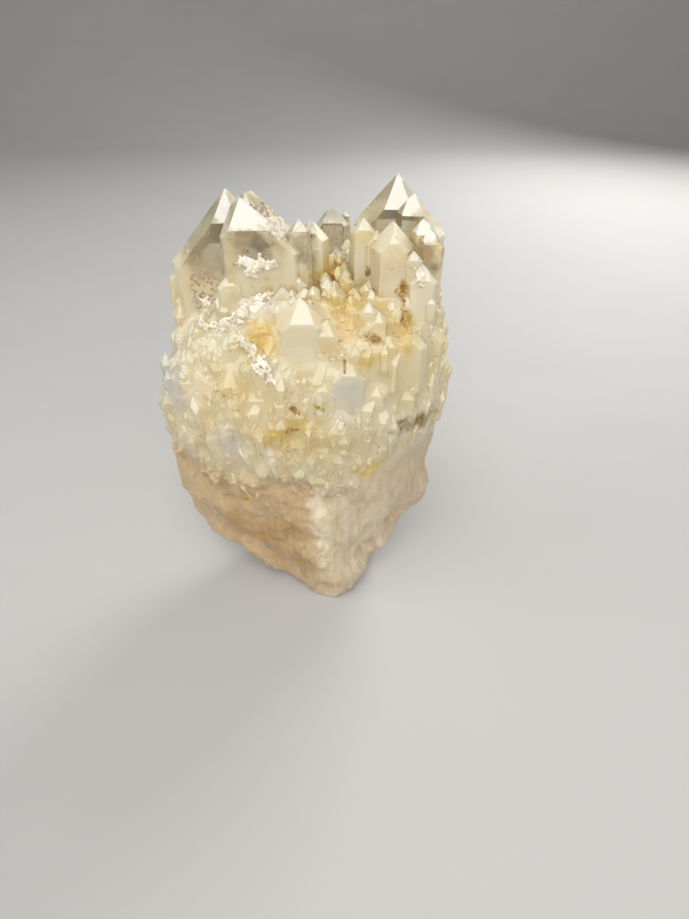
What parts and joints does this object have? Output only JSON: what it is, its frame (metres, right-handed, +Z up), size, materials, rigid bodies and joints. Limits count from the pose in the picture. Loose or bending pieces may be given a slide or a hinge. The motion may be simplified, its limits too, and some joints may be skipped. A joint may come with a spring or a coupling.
{
  "type": "candle quartz specimen",
  "caption": "Hand-size candle quartz cluster: parallel six-sided crystals with pointed ends, crowned by clear towers, on a broken milky foot.",
  "frame": {"origin": "middle of the flat foot, on the surface that the specimen stands on", "axes": "+Z up along the crystals, -Y towards the prow of the broken foot, +X to the right when seen from there"},
  "size_m": [0.0789, 0.0581, 0.1165],
  "materials": {
    "quartz": "milky cream quartz, clearer and glossier at the tall tips, frosted end faces, yellow and ochre iron stains, grey-white broken foot"
  },
  "bodies": {
    "root": {"quartz_cluster": "quartz"}
  },
  "joints": []
}
